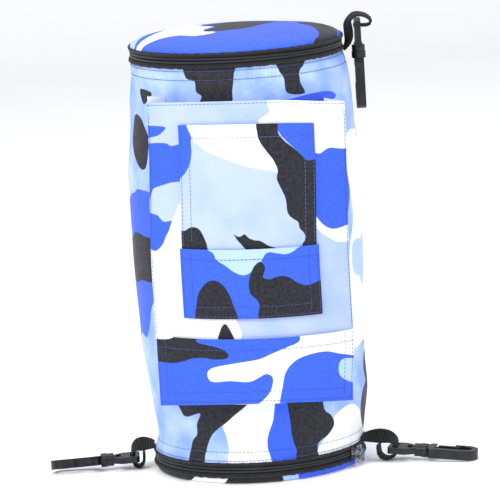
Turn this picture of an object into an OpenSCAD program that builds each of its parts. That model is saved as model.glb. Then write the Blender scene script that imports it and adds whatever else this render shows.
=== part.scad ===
// Upright cylindrical padded bag with a zipped lid at each end, a bellows front pocket
// and swivel snap hooks on webbing loops. Millimetres, +Z up, origin on the floor at the
// middle of the base. The front of the bag faces -Y.

/* [Bag body] */
// Overall height with both lids shut
bag_h = 352; // [340:2:364]
// Outer radius of the wall at its widest
mid_r = 92.5; // [90:0.5:95]
// Thickness of the outer fabric
shell_t = 1.2; // [0.8:0.1:1.6]
// Thickness of the foam in the wall
foam_t = 5; // [3:0.5:6]
// Thickness of the foam in the lids
lid_foam_t = 3; // [2:0.5:3]
// Thickness of the inner lining
lining_t = 0.7; // [0.5:0.1:1]
// Height of the bottom zip's centre line
bottom_zip_z = 11; // [11:0.5:14]
// Drop from the top of the dome to the top zip's centre line
top_zip_drop = 15.5; // [14:0.5:18]

/* [Front pocket] */
// Height of the pocket's lower edge
pocket_z0 = 65; // [60:1:70]
// Height of the pocket's upper edge
pocket_z1 = 300; // [290:2:306]
// Radius of the front panel's curve
panel_r = 120; // [112:1:126]
// Half of the front panel's angle of curve
panel_half_a = 41.5; // [39:0.5:43]
// Stand-off of the panel from the wall at the middle
panel_gap = 7; // [5:0.5:9]
// Thickness of the front panel
panel_t = 2.4; // [1.6:0.2:3]
// Thickness of a patch pocket
patch_t = 1.2; // [0.8:0.1:1.6]
// Half width of the upper and lower patch pockets along the curve
patch_half_w = 55; // [45:1:62]
// Height of the upper patch pocket's hem
upper_patch_z1 = 286; // [270:2:290]
// Height of the lower patch pocket's hem
lower_patch_z1 = 191; // [176:1:200]
// Height of the lower edge of both
patch_z0 = 136; // [128:1:146]
// Height of the wide patch pocket's hem
wide_patch_z1 = 120; // [110:1:124]

/* [Snap hooks] */
// Length of a hook from its swivel face to the nose
hook_len = 46; // [42:1:50]
// Half width of a hook
hook_half_w = 10; // [9:0.5:11]
// Thickness of a hook
hook_t = 7.5; // [6:0.5:7.5]
// Width of the bar that a hook is bent from
hook_bar = 5; // [4:0.5:5.5]
// Width of the webbing
web_w = 14; // [10:1:14]
// Thickness of the webbing
web_t = 2; // [1.4:0.2:2]

/* [Hidden] */
$fn = 96;
gap = 0.05;

// Fabric, webbing, metal and plastic colours
camo_blue = [0.45, 0.62, 0.95];
lining_grey = [0.2, 0.2, 0.22];
foam_white = [0.92, 0.92, 0.88];
near_black = [0.06, 0.06, 0.07];
silver = [0.8, 0.8, 0.82];

// The wall as share of its height and share of its widest radius: a slight barrel that is
// drawn in at both rims
wall_shape = [[0, 0.91], [0.008, 0.91], [0.035, 0.905], [0.11, 0.938], [0.29, 0.976], [0.5, 1],
    [0.7, 0.998], [0.9, 0.973], [0.965, 0.949], [0.992, 0.91], [1, 0.91]];
bottom_rim_r = mid_r * wall_shape[0][1];
top_rim_r = mid_r * wall_shape[len(wall_shape) - 1][1];
top_zip_z = bag_h - top_zip_drop;

// Zip section, measured from its centre line towards either side
chain_gap = 0.65;
coil_h = 1.35;
tape_end = 2.95;
binding_start = 3;
binding_floor = 1.2;
binding_reach = 6.5;
edge_start = binding_start + binding_floor + gap;
binding_t = 1;
wall_t = shell_t + foam_t + lining_t + 2 * gap;
lid_t = shell_t + lid_foam_t + lining_t + 2 * gap;
lid_binding_reach = 4.5;
wall_z0 = bottom_zip_z + edge_start;
wall_z1 = top_zip_z - edge_start;

// The zips run round the front from one side of the fabric hinge to the other
zip_start_a = 120;
zip_a = 300;

// Layers, counted inwards from the outer face: [start, end]
shell_layer = [0, shell_t];
foam_layer = [shell_t + gap, shell_t + gap + foam_t];
lining_layer = [wall_t - lining_t, wall_t];
lid_foam_layer = [shell_t + gap, shell_t + gap + lid_foam_t];
lid_lining_layer = [lid_t - lining_t, lid_t];

// ---- plan and profile helpers ----

module ring(r0, r1, z0, z1, start_a = 0, span_a = 360) {
    rotate_extrude(angle = span_a, start = start_a)
        translate([r0, z0])
            square([r1 - r0, z1 - z0]);
}

function wall_point(s, inset) = [mid_r * s[1] - inset, wall_z0 + s[0] * (wall_z1 - wall_z0)];

module wall_layer(layer) {
    last = len(wall_shape) - 1;
    outer = [for (s = wall_shape) wall_point(s, layer[0])];
    inner = [for (i = [last:-1:0]) wall_point(wall_shape[i], layer[1])];
    rotate_extrude()
        polygon(concat(outer, inner));
}

// The whole wall as a filled solid, to cut what is sewn to its outside
module wall_envelope(grow) {
    outer = [for (s = wall_shape) wall_point(s, -grow)];
    rotate_extrude()
        polygon(concat([[0, wall_z0]], outer, [[0, wall_z1]]));
}

// side is +1 where the part lies above the zip's centre line and -1 below it
module zip_side(zip_z, side) {
    translate([0, 0, zip_z])
        mirror([0, 0, side > 0 ? 0 : 1])
            children();
}

// A folded strip over an edge that is edge_t thick, its inner leg inner_reach long
module edge_binding(rim_r, edge_t, inner_reach) {
    inner_r = rim_r - edge_t - binding_t - 0.1;
    outer_r = rim_r + binding_t + 0.1;
    ring(inner_r, outer_r, binding_start, edge_start - gap);
    ring(outer_r - binding_t, outer_r, binding_start, binding_reach);
    ring(inner_r, inner_r + binding_t, binding_start, inner_reach);
}

module wall_binding(rim_r) { edge_binding(rim_r, wall_t, binding_reach); }
module lid_binding(rim_r) { edge_binding(rim_r, lid_t, lid_binding_reach); }

module zip_tape(rim_r) {
    ring(rim_r - 1.9, rim_r - 1.1, chain_gap, tape_end, zip_start_a, zip_a);
}

module zip_coil(rim_r) {
    ring(rim_r - 1.1, rim_r + 0.5, chain_gap, chain_gap + coil_h, zip_start_a, zip_a);
}

module zip_stops(rim_r) {
    for (a = [zip_start_a - 1.2, zip_start_a + zip_a + 1.2])
        rotate([0, 0, a])
            translate([rim_r - 2.1, -1, chain_gap])
                cube([3, 2, tape_end - chain_gap]);
}

module hinge_fabric(rim_r) {
    ring(rim_r + 1.2, rim_r + 2, 0.2, 7, zip_start_a - 58, 56);
}

// ---- walls ----

module outer_shell() { color(camo_blue) wall_layer(shell_layer); }
module foam_wall() { color(foam_white) wall_layer(foam_layer); }
module inner_lining() { color(lining_grey) wall_layer(lining_layer); }

// ---- lids ----

module dome_face(r, h) {
    steps = 12;
    shoulder = 0.71;
    polygon(concat([[0, 0]],
        [for (i = [0:steps])
            [r * pow(cos(90 * i / steps), shoulder), h * pow(sin(90 * i / steps), shoulder)]]));
}

module dome_layer(layer) {
    base_z = top_zip_z + edge_start;
    h = bag_h - base_z;
    translate([0, 0, base_z])
        rotate_extrude()
            difference() {
                dome_face(top_rim_r - layer[0], h - layer[0]);
                dome_face(top_rim_r - layer[1], h - layer[1]);
            }
}

module dish_face(inset) {
    corner = 4 - inset * 0.5;
    r = bottom_rim_r - inset;
    h = bottom_zip_z - edge_start;
    translate([0, inset])
        square([r - corner, h - inset]);
    translate([0, inset + corner])
        square([r, h - inset - corner]);
    translate([r - corner, inset + corner])
        intersection() {
            circle(corner);
            translate([0, -corner])
                square(corner);
        }
}

module dish_layer(layer) {
    rotate_extrude()
        difference() {
            dish_face(layer[0]);
            dish_face(layer[1]);
        }
}

// ---- front pocket ----

panel_y = -(mid_r + panel_gap + panel_t) + panel_r;
panel_in_r = panel_r - panel_t;
gusset_t = 1.2;
floor_t = 1.2;
// Plan of the right gusset from the panel, over its inward fold, into the wall
gusset_path = [[77.2, -73], [71.8, -62.5], [73.2, -46.5]];

// A curved sheet that lies against the panel, half_w measured along the curve
module curved_sheet(r0, t, half_a, z0, z1) {
    translate([0, panel_y, 0])
        ring(r0, r0 + t, z0, z1, 270 - half_a, 2 * half_a);
}

function arc_a(half_w) = half_w / panel_r * 180 / PI;

module inside_panel() {
    translate([0, panel_y])
        circle(panel_in_r - gap);
}

module right_gusset() {
    half = gusset_t / 2;
    path = gusset_path;
    difference() {
        translate([0, 0, pocket_z0 + floor_t + gap])
            linear_extrude(pocket_z1 - pocket_z0 - floor_t - gap)
                intersection() {
                    inside_panel();
                    polygon([for (p = [path[0], path[1], path[2]]) [p[0] + half, p[1]],
                        for (p = [path[2], path[1], path[0]]) [p[0] - half, p[1]]]);
                }
        wall_envelope(gap);
    }
}

module pocket_front_panel() {
    color(camo_blue)
        curved_sheet(panel_in_r, panel_t, panel_half_a, pocket_z0, pocket_z1);
}

module pocket_right_gusset() { color("white") right_gusset(); }
module pocket_left_gusset() { color("white") mirror([1, 0, 0]) right_gusset(); }

module pocket_floor_gusset() {
    reach = gusset_path[0][0] - 0.5;
    color("white")
        difference() {
            translate([0, 0, pocket_z0])
                linear_extrude(floor_t)
                    intersection() {
                        inside_panel();
                        translate([-reach, -mid_r - 20])
                            square([2 * reach, mid_r - 30]);
                    }
            wall_envelope(gap);
        }
}

module upper_patch_pocket() {
    color([0.62, 0.76, 1])
        curved_sheet(panel_r + gap, patch_t, arc_a(patch_half_w), patch_z0, upper_patch_z1);
}

module lower_patch_pocket() {
    color([0.25, 0.42, 0.9])
        curved_sheet(panel_r + patch_t + 2 * gap, patch_t, arc_a(patch_half_w + 1),
            patch_z0, lower_patch_z1);
}

module wide_patch_pocket() {
    color([0.25, 0.42, 0.9])
        curved_sheet(panel_r + gap, patch_t, panel_half_a - 1, pocket_z0, wide_patch_z1);
}

// ---- zip sliders and pulls ----

slider_half_w = 4.4;
slider_half_h = 4.6;
plate_t = 1;
plate_out = 1.5;
crown_r = 0.7;
crown_out = 4.4;
foot_in = 2.2;
foot_out = 3.2;
pull_bore_r = 0.78;
pull_eye_r = 1.6;
pull_len = 9.5;
pull_w = 5.6;
pull_t = 1.2;

module rounded_plate(w, h, corner) {
    square([w - 2 * corner, h], center = true);
    square([w, h - 2 * corner], center = true);
    for (x = [-1, 1], y = [-1, 1])
        translate([x * (w / 2 - corner), y * (h / 2 - corner)])
            circle(corner);
}

// Turns a plan drawn in X and Y into an upright plate that faces outwards along +X
module facing_out(x, t) {
    translate([x, 0, 0])
        rotate([90, 0, 90])
            linear_extrude(t)
                children();
}

module at_zip(a, rim_r, zip_z) {
    rotate([0, 0, a])
        translate([rim_r, 0, zip_z])
            children();
}

module slider() {
    facing_out(plate_out, plate_t)
        rounded_plate(2 * slider_half_w, 2 * slider_half_h, 2);
    facing_out(-3.3, plate_t)
        rounded_plate(2 * slider_half_w, 4.4, 1);
    translate([-2.4, -1.2, -0.3])
        cube([plate_out + 2.5, 2.4, 0.6]);
    for (side = [-1, 1])
        translate([plate_out + plate_t / 2, side > 0 ? foot_in : -foot_out, -crown_r])
            cube([crown_out - plate_out - plate_t / 2, foot_out - foot_in, 2 * crown_r]);
    translate([crown_out, foot_out, 0])
        rotate([90, 0, 0])
            cylinder(r = crown_r, h = 2 * foot_out);
}

module pull() {
    difference() {
        union() {
            translate([crown_out, 1.9, 0])
                rotate([90, 0, 0])
                    cylinder(r = pull_eye_r, h = 3.8);
            facing_out(crown_out - pull_t / 2, pull_t) {
                translate([0, -pull_len / 2 - 1.4])
                    rounded_plate(pull_w, pull_len - 2.8, 1.2);
                translate([-1.9, -3])
                    square([3.8, 2]);
            }
        }
        translate([crown_out, 3, 0])
            rotate([90, 0, 0])
                cylinder(r = pull_bore_r, h = 6);
        facing_out(crown_out - 2, 4)
            translate([0, -pull_len + 2.6])
                circle(1.3);
    }
}

top_slider_a_at = 153;
top_slider_b_at = 146;
bottom_slider_a_at = -23.5;
bottom_slider_b_at = -30;

// ---- snap hooks ----

// Each hook hangs on its webbing at a pivot: [turn about Z, distance out, height, pitch, roll]
top_place = [0, 97.2, 348.3, 90, 0];
left_place = [180, 102.7, 8.8, 2.2, 12.5];
right_place = [-14, 111.94, 9.2, 4.5, 0];
pivot_to_face = 20.75;

module at_pivot(place) {
    rotate([0, 0, place[0]])
        translate([place[1], 0, place[2]])
            rotate([0, place[3], 0])
                children();
}

module at_hook(place) {
    at_pivot(place)
        translate([pivot_to_face, 0, 0])
            rotate([place[4], 0, 0])
                children();
}

stem_r = 2.2;
stem_bore_r = 2.25;
head_r = 3.4;
barrel_r = 5.2;
collar_r = 5.6;
gate_pin_r = 1;
gate_bore_r = 1.05;
gate_root_r = 3;
gate_pivot = [9.3, 5.2];
gate_slot_t = 4.4;
gate_neck_t = 4;
gate_end = 30.5;
base_x0 = 5;
base_x1 = 11.5;
nose_x = hook_len - hook_half_w;
mouth_half = hook_half_w - hook_bar;

module along_x(r, x0, x1) {
    translate([x0, 0, 0])
        rotate([0, 90, 0])
            cylinder(r = r, h = x1 - x0);
}

module hook_face() {
    difference() {
        union() {
            translate([nose_x, 0])
                circle(hook_half_w);
            translate([base_x0 + 3, -hook_half_w])
                square([nose_x - base_x0 - 3, 2 * hook_half_w]);
            polygon([[base_x0 - 1, -4.5], [base_x0 + 3, -hook_half_w],
                [base_x0 + 3, hook_half_w], [base_x0 - 1, 4.5]]);
        }
        translate([nose_x, 0])
            circle(mouth_half);
        translate([base_x1, -mouth_half])
            square([nose_x - base_x1, 2 * mouth_half]);
        translate([base_x1, 0])
            square([26.5 - base_x1, hook_half_w + 1]);
        translate([26, 0])
            square([nose_x - 26 - 1.5, 7.3]);
    }
}

module hook() {
    half = gate_slot_t / 2;
    difference() {
        union() {
            translate([0, 0, -hook_t / 2])
                linear_extrude(hook_t)
                    hook_face();
            along_x(collar_r, 0.3, base_x0 + 0.3);
        }
        translate([gate_pivot[0] - gate_root_r - 0.3, 2, -half])
            cube([base_x1 - gate_pivot[0] + gate_root_r + 1, hook_half_w, gate_slot_t]);
    }
    translate([gate_pivot[0], gate_pivot[1], -half - 0.5])
        cylinder(r = gate_pin_r, h = gate_slot_t + 1);
    along_x(stem_r, -6, 1);
    along_x(head_r, -7.2, -5.4);
}

module gate() {
    translate([gate_pivot[0], gate_pivot[1], 0])
        difference() {
            union() {
                translate([0, 0, -gate_neck_t / 2])
                    cylinder(r = gate_root_r, h = gate_neck_t);
                translate([0, -1.6, -gate_neck_t / 2])
                    cube([5, 3.4, gate_neck_t]);
                translate([3.9, -1.6, -3.4])
                    cube([gate_end - gate_pivot[0] - 3.9, 3.4, 6.8]);
            }
            translate([0, 0, -gate_neck_t])
                cylinder(r = gate_bore_r, h = 2 * gate_neck_t);
        }
}

eye_t = 5;
eye_half_w = 10.5;
eye_end = 26;
slot_half_w = 8;
slot_near = 18.5;
slot_far = 23;

module eye_face() {
    end_r = 3;
    difference() {
        union() {
            polygon([[-3, 4.8], [-12, eye_half_w], [-eye_end + end_r, eye_half_w],
                [-eye_end + end_r, -eye_half_w], [-12, -eye_half_w], [-3, -4.8]]);
            translate([-eye_end, -eye_half_w + end_r])
                square([2 * end_r, 2 * (eye_half_w - end_r)]);
            for (side = [-1, 1])
                translate([-eye_end + end_r, side * (eye_half_w - end_r)])
                    circle(end_r);
        }
        translate([-11, -4.2])
            square([6, 8.4]);
        translate([-slot_far, -slot_half_w])
            square([slot_far - slot_near, 2 * slot_half_w]);
    }
}

// Drawn from the swivel face, like the hook
module hook_eye() {
    difference() {
        union() {
            translate([0, 0, -eye_t / 2])
                linear_extrude(eye_t)
                    eye_face();
            along_x(barrel_r, -5, 0);
        }
        along_x(stem_bore_r, -6, 1);
    }
}

module at_eye(place) {
    at_pivot(place)
        translate([pivot_to_face, 0, 0])
            children();
}

// ---- webbing loops ----

// Route points are [out, height, twist of the webbing about its own length in degrees]
top_route = [[86.9, 330.1, 0], [88.9, 334.8, 16], [90, 339.5, 26], [90, 344.5, 28],
    [89.8, 349, 25], [91, 353.2, 12], [95, 356.6, 10], [100.2, 356.8, 6], [105, 355, 5],
    [108, 351.8, 3], [107.2, 348.9, 2], [104, 347.9, 0], [97.2, 348.3, 0], [94.1, 348.2, 0]];
ground_route = [[85.9, 18.9, 14], [89.7, 19.4, 30], [94.2, 19.6, 40], [98.3, 18.9, 34],
    [101.3, 17, 18], [102.7, 14.6, 6], [102.9, 11, 0], [102.7, 7, 0], [101.5, 3.2, 0],
    [98.7, 1.5, 0], [96.1, 2.2, 0], [94.2, 5, 0], [93.7, 9.5, 0], [93.8, 12.6, 0]];
right_stretch = 1.55;

// The same route with its reach from the seam multiplied by k
function stretched(route, k) =
    [for (p = route) [route[0][0] + (p[0] - route[0][0]) * k, p[1], p[2]]];

function unit(v) = v / norm(v);
function route_dir(r, i) = unit(
    [r[min(i + 1, len(r) - 1)][0] - r[max(i - 1, 0)][0],
     r[min(i + 1, len(r) - 1)][1] - r[max(i - 1, 0)][1]]);

// The four corners of the webbing's section at one route point
function web_ring(r, i) =
    let (d = route_dir(r, i),
         across = [-d[1] * sin(r[i][2]), cos(r[i][2]), d[0] * sin(r[i][2])],
         along = [d[0], 0, d[1]],
         n = unit(cross(along, across)),
         c = [r[i][0], 0, r[i][1]],
         w = across * web_w / 2,
         t = n * web_t / 2)
    [c - w - t, c + w - t, c + w + t, c - w + t];

module webbing(route) {
    last = len(route) - 1;
    corners = [for (i = [0:last]) each web_ring(route, i)];
    sides = [for (i = [0:last - 1], k = [0:3])
        each [[4 * i + k, 4 * i + (k + 1) % 4, 4 * i + 4 + (k + 1) % 4],
              [4 * i + k, 4 * i + 4 + (k + 1) % 4, 4 * i + 4 + k]]];
    caps = [[0, 2, 1], [0, 3, 2],
        [4 * last, 4 * last + 1, 4 * last + 2], [4 * last, 4 * last + 2, 4 * last + 3]];
    polyhedron(points = corners, faces = concat(sides, caps), convexity = 6);
}

// ---- nodes ----

outer_shell();
foam_wall();
inner_lining();
color(near_black) zip_side(top_zip_z, -1) wall_binding(top_rim_r);  // top_rim_binding
color(near_black) zip_side(bottom_zip_z, 1) wall_binding(bottom_rim_r);  // bottom_rim_binding
color(near_black) zip_side(top_zip_z, -1) zip_tape(top_rim_r);  // top_zip_body_tape
color(near_black) zip_side(bottom_zip_z, 1) zip_tape(bottom_rim_r);  // bottom_zip_body_tape
color(near_black) zip_side(top_zip_z, -1) zip_coil(top_rim_r);  // top_zip_body_coil
color(near_black) zip_side(bottom_zip_z, 1) zip_coil(bottom_rim_r);  // bottom_zip_body_coil
color(silver) zip_side(top_zip_z, -1) zip_stops(top_rim_r);  // top_zip_stops
color(silver) zip_side(bottom_zip_z, 1) zip_stops(bottom_rim_r);  // bottom_zip_stops
color(near_black) zip_side(top_zip_z, -1) hinge_fabric(top_rim_r);  // top_hinge_fabric
color(near_black) zip_side(bottom_zip_z, 1) hinge_fabric(bottom_rim_r);  // bottom_hinge_fabric
pocket_front_panel();
pocket_left_gusset();
pocket_right_gusset();
pocket_floor_gusset();
upper_patch_pocket();
lower_patch_pocket();
wide_patch_pocket();
color(camo_blue) dome_layer(shell_layer);  // top_lid_cover
color(foam_white) dome_layer(lid_foam_layer);  // top_lid_foam
color(lining_grey) dome_layer(lid_lining_layer);  // top_lid_lining
color(near_black) zip_side(top_zip_z, 1) lid_binding(top_rim_r);  // top_lid_binding
color(near_black) zip_side(top_zip_z, 1) zip_tape(top_rim_r);  // top_lid_zip_tape
color(near_black) zip_side(top_zip_z, 1) zip_coil(top_rim_r);  // top_lid_zip_coil
color(camo_blue) dish_layer(shell_layer);  // bottom_lid_cover
color(foam_white) dish_layer(lid_foam_layer);  // bottom_lid_foam
color(lining_grey) dish_layer(lid_lining_layer);  // bottom_lid_lining
color(near_black) zip_side(bottom_zip_z, -1) lid_binding(bottom_rim_r);  // bottom_lid_binding
color(near_black) zip_side(bottom_zip_z, -1) zip_tape(bottom_rim_r);  // bottom_lid_zip_tape
color(near_black) zip_side(bottom_zip_z, -1) zip_coil(bottom_rim_r);  // bottom_lid_zip_coil
color(silver) at_zip(top_slider_a_at, top_rim_r, top_zip_z) slider();  // top_slider_a
color(silver) at_zip(top_slider_b_at, top_rim_r, top_zip_z) slider();  // top_slider_b
color(silver) at_zip(bottom_slider_a_at, bottom_rim_r, bottom_zip_z) slider();  // bottom_slider_a
color(silver) at_zip(bottom_slider_b_at, bottom_rim_r, bottom_zip_z) slider();  // bottom_slider_b
color(silver) at_zip(top_slider_a_at, top_rim_r, top_zip_z) pull();  // top_pull_a
color(silver) at_zip(top_slider_b_at, top_rim_r, top_zip_z) pull();  // top_pull_b
color(silver) at_zip(bottom_slider_a_at, bottom_rim_r, bottom_zip_z) pull();  // bottom_pull_a
color(silver) at_zip(bottom_slider_b_at, bottom_rim_r, bottom_zip_z) pull();  // bottom_pull_b
color(near_black) webbing(top_route);  // top_loop
color(near_black) rotate([0, 0, left_place[0]]) mirror([0, 1, 0]) webbing(ground_route);  // left_loop
color(near_black) rotate([0, 0, right_place[0]])  // right_loop
        webbing(stretched(ground_route, right_stretch));
color(near_black) at_eye(top_place) hook_eye();  // top_hook_eye
color(near_black) at_eye(left_place) hook_eye();  // left_hook_eye
color(near_black) at_eye(right_place) hook_eye();  // right_hook_eye
color(near_black) at_hook(top_place) hook();  // top_hook
color(near_black) at_hook(left_place) hook();  // left_hook
color(near_black) at_hook(right_place) hook();  // right_hook
color(near_black) at_hook(top_place) gate();  // top_gate
color(near_black) at_hook(left_place) gate();  // left_gate
color(near_black) at_hook(right_place) gate();  // right_gate
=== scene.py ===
"""Looks of the cylindrical padded bag: fabric, webbing, stitching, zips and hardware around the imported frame.

Lengths are millimetres until a mesh is made. The front of the bag faces -Y and Z is up.
"""

import math

import bmesh
import bpy
import numpy as np
from mathutils import Matrix, Vector


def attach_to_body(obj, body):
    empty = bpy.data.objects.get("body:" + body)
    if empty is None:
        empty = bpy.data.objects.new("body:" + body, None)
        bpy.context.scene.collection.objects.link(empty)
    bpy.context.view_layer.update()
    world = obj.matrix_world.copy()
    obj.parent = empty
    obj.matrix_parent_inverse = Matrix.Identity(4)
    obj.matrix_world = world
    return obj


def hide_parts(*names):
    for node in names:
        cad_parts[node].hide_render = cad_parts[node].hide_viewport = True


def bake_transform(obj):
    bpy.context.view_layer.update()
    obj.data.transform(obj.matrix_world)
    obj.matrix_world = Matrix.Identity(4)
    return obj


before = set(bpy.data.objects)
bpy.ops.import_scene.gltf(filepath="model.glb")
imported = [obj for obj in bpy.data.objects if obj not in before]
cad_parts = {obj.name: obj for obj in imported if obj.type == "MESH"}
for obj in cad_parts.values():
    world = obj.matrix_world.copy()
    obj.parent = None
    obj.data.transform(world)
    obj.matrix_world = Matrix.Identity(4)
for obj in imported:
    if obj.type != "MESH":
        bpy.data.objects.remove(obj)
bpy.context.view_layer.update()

MM = 0.001
PI = math.pi

# ---- sizes shared with the CAD, in millimetres ----

MID_R = 92.5
RIM_R = 0.91 * MID_R
BAG_H = 352.0
SHOULDER = 0.71
TOP_ZIP = 336.5
BOTTOM_ZIP = 11.0
EDGE = 4.25
WALL_Z0 = BOTTOM_ZIP + EDGE
WALL_Z1 = TOP_ZIP - EDGE
WALL_T = 7.0
PAD_T = 6.25
LID_T = 5.0
LID_PAD_T = 4.25
PANEL_R = 120.0
PANEL_T = 2.4
PANEL_Y = -(MID_R + 7 + PANEL_T) + PANEL_R
PANEL_HALF = math.radians(41.5) * PANEL_R
PANEL_Z0, PANEL_Z1 = 65.0, 300.0
PATCH_T = 1.2
PATCH_HALF = 55.0
A_Z0, A_Z1 = 136.0, 283.5
B_Z1 = 191.0
C_HALF = math.radians(40.5) * PANEL_R
C_Z1 = 120.0
TOP_ROWS = (328.3, 321.5)
BOTTOM_ROWS = (25.5, 18.6)
RIB_PITCH = 2.1
PRINT_R = 90.0
PUCKER_PITCH = 6.4
EDGE_ROW, INNER_ROW = 1.8, 9.5
LAYERS = ("frost", "royal", "white", "pale", "black")

# ---- small maths ----


def smoothstep(x, a, b):
    """0 below a, 1 above b, smooth between them."""
    t = np.clip((np.asarray(x, float) - a) / (b - a), 0, 1)
    return t * t * (3 - 2 * t)


def ripple(x, y, seed, scale):
    """Smooth repeatable waviness from -1 to 1, made of a few sine waves with fixed random directions."""
    rng = np.random.default_rng(seed)
    total = 0
    for _ in range(6):
        angle, phase, k = rng.uniform(0, 2 * PI), rng.uniform(0, 2 * PI), rng.uniform(0.6, 1.5)
        total = total + np.sin((np.cos(angle) * x + np.sin(angle) * y) * k * 2 * PI / scale + phase)
    return total / 4


def smooth_outline(points, per=7):
    """A closed Catmull-Rom curve through the points."""
    p = np.asarray(points, float)
    before, after, later = np.roll(p, 1, 0), np.roll(p, -1, 0), np.roll(p, -2, 0)
    rows = []
    for t in np.arange(per) / per:
        rows.append(0.5 * (2 * p + (after - before) * t + (2 * before - 5 * p + 4 * after - later) * t * t
                           + (3 * p - before - 3 * after + later) * t ** 3))
    return np.stack(rows, 1).reshape(-1, 2)


def inside_distance(outline, q):
    """Distance in millimetres from each point of q to the outline, positive inside it."""
    a = smooth_outline(outline)
    b = np.roll(a, -1, 0)
    d = b - a
    out = np.empty(len(q))
    for i in range(0, len(q), 4000):
        p = q[i:i + 4000, None, :]
        t = np.clip(((p - a) * d).sum(-1) / np.maximum((d * d).sum(-1), 1e-9), 0, 1)
        near = np.sqrt((((a + d * t[..., None]) - p) ** 2).sum(-1)).min(1)
        crosses = (a[:, 1] > p[..., 1]) != (b[:, 1] > p[..., 1])
        at = a[:, 0] + (p[..., 1] - a[:, 1]) * d[:, 0] / np.where(d[:, 1] == 0, 1e-9, d[:, 1])
        inside = (crosses & (p[..., 0] < at)).sum(1) % 2 == 1
        out[i:i + 4000] = np.where(inside, near, -near)
    return out


# ---- camouflage outlines: millimetres along the curve and up ----
# The front's outlines are based on points read off the photo and turned into millimetres by a scratch
# program with a fitted camera. Those on the back, the far sides and the bottom lid are invented.

PANEL_PRINT = {
    "frost": [[(-100, 50), (100, 50), (100, 320), (-100, 320)]],
    "royal": [
        [(58, 264), (73, 265), (94, 267), (94, 203), (76, 201), (68, 202), (61, 207), (55, 216)],
        [(-90, 284), (-62, 286), (-66, 280), (-74, 277), (-90, 274)],
        [(-90, 268), (-76, 272), (-62, 273), (-57, 271), (-46, 271), (-46, 247), (-60, 242), (-69, 239),
         (-76, 236), (-80, 229), (-90, 222)],
        [(-90, 214), (-75, 216), (-68, 211), (-60, 212), (-62, 206), (-67, 199), (-71, 191), (-77, 187),
         (-90, 184)],
    ],
    "white": [
        [(28, 308), (23, 297), (14, 289), (38, 279), (60, 262), (72, 265), (96, 266), (98, 308)],
        [(56, 213), (61, 207), (68, 202), (76, 201), (94, 203), (94, 191), (78, 190), (70, 193), (61, 199),
         (54, 207)],
        [(-48, 228), (-58, 216), (-64, 203), (-69, 194), (-77, 187), (-92, 183), (-92, 114), (-17, 114),
         (-12, 134), (-28, 150), (-46, 180)],
    ],
    "black": [[(-28, 114), (-25, 128), (-20, 131), (-14, 114)]],
}
A_PRINT = {
    "frost": [[(-70, 120), (70, 120), (70, 300), (-70, 300)]],
    "royal": [
        [(-60, 294), (-38, 290), (-39, 276), (-39, 266), (-42, 256), (-48, 248), (-60, 243)],
        [(27, 294), (29, 281), (41, 267), (50, 258), (64, 246), (66, 294)],
    ],
    "white": [[(-38, 294), (-38, 279), (-33, 273), (-25, 267), (-13, 262), (-3, 258), (9, 254), (20, 252),
               (28, 250), (24, 262), (15, 274), (13, 294)]],
    "black": [
        [(13, 294), (12, 282), (14, 274), (19, 266), (23, 260), (26, 252), (25, 245), (28, 237), (31, 229),
         (32, 218), (36, 213), (40, 210), (41, 205), (45, 200), (45, 195), (42, 186), (44, 130), (64, 130),
         (64, 244), (50, 258), (41, 267), (32, 275), (28, 282), (28, 294)],
        [(-62, 207), (-50, 205), (-44, 208), (-38, 208), (-34, 203), (-31, 192), (-34, 184), (-62, 184)],
        [(-11, 204), (-6, 201), (-2, 203), (1, 200), (5, 198), (10, 197), (16, 193), (24, 189), (4, 187),
         (-5, 195)],
    ],
}
B_PRINT = {
    "pale": [[(-30, 196), (-26, 188), (-24, 183), (-18, 179), (-12, 174), (-5, 171), (1, 173), (4, 178),
              (9, 181), (14, 188), (22, 187), (29, 186), (36, 189), (40, 196)]],
    "black": [
        [(-42, 130), (-42, 148), (-39, 158), (-33, 165), (-27, 167), (-21, 164), (-17, 158), (-14, 149),
         (-12, 130)],
        [(9, 130), (6, 148), (0, 156), (-1, 164), (1, 172), (5, 179), (9, 181), (12, 176), (10, 169),
         (15, 167), (22, 169), (29, 168), (36, 163), (44, 160), (62, 161), (62, 130)],
    ],
}
C_PRINT = {
    "white": [
        [(-90, 123), (-58, 126), (-62, 121), (-70, 118), (-90, 115)],
        [(92, 124), (42, 124), (35, 116), (25, 112), (14, 108), (4, 104), (-8, 102), (-20, 100), (-30, 98),
         (-36, 95), (-37, 90), (-33, 86), (-20, 87), (-6, 86), (2, 89), (8, 92), (13, 89), (12, 81),
         (8, 74), (-4, 62), (14, 62), (19, 76), (23, 92), (31, 101), (42, 105), (57, 106), (72, 102),
         (92, 100)],
    ],
    "black": [[(-90, 115), (-70, 118), (-61, 122), (-58, 128), (-37, 128), (-44, 120), (-43, 117),
               (-34, 115), (-26, 113), (-20, 109), (-21, 105), (-30, 104), (-40, 105), (-49, 104),
               (-58, 101), (-70, 99), (-90, 101)]],
    "pale": [[(70, 97), (82, 97), (92, 92), (92, 76), (78, 79), (68, 86)]],
}
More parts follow.
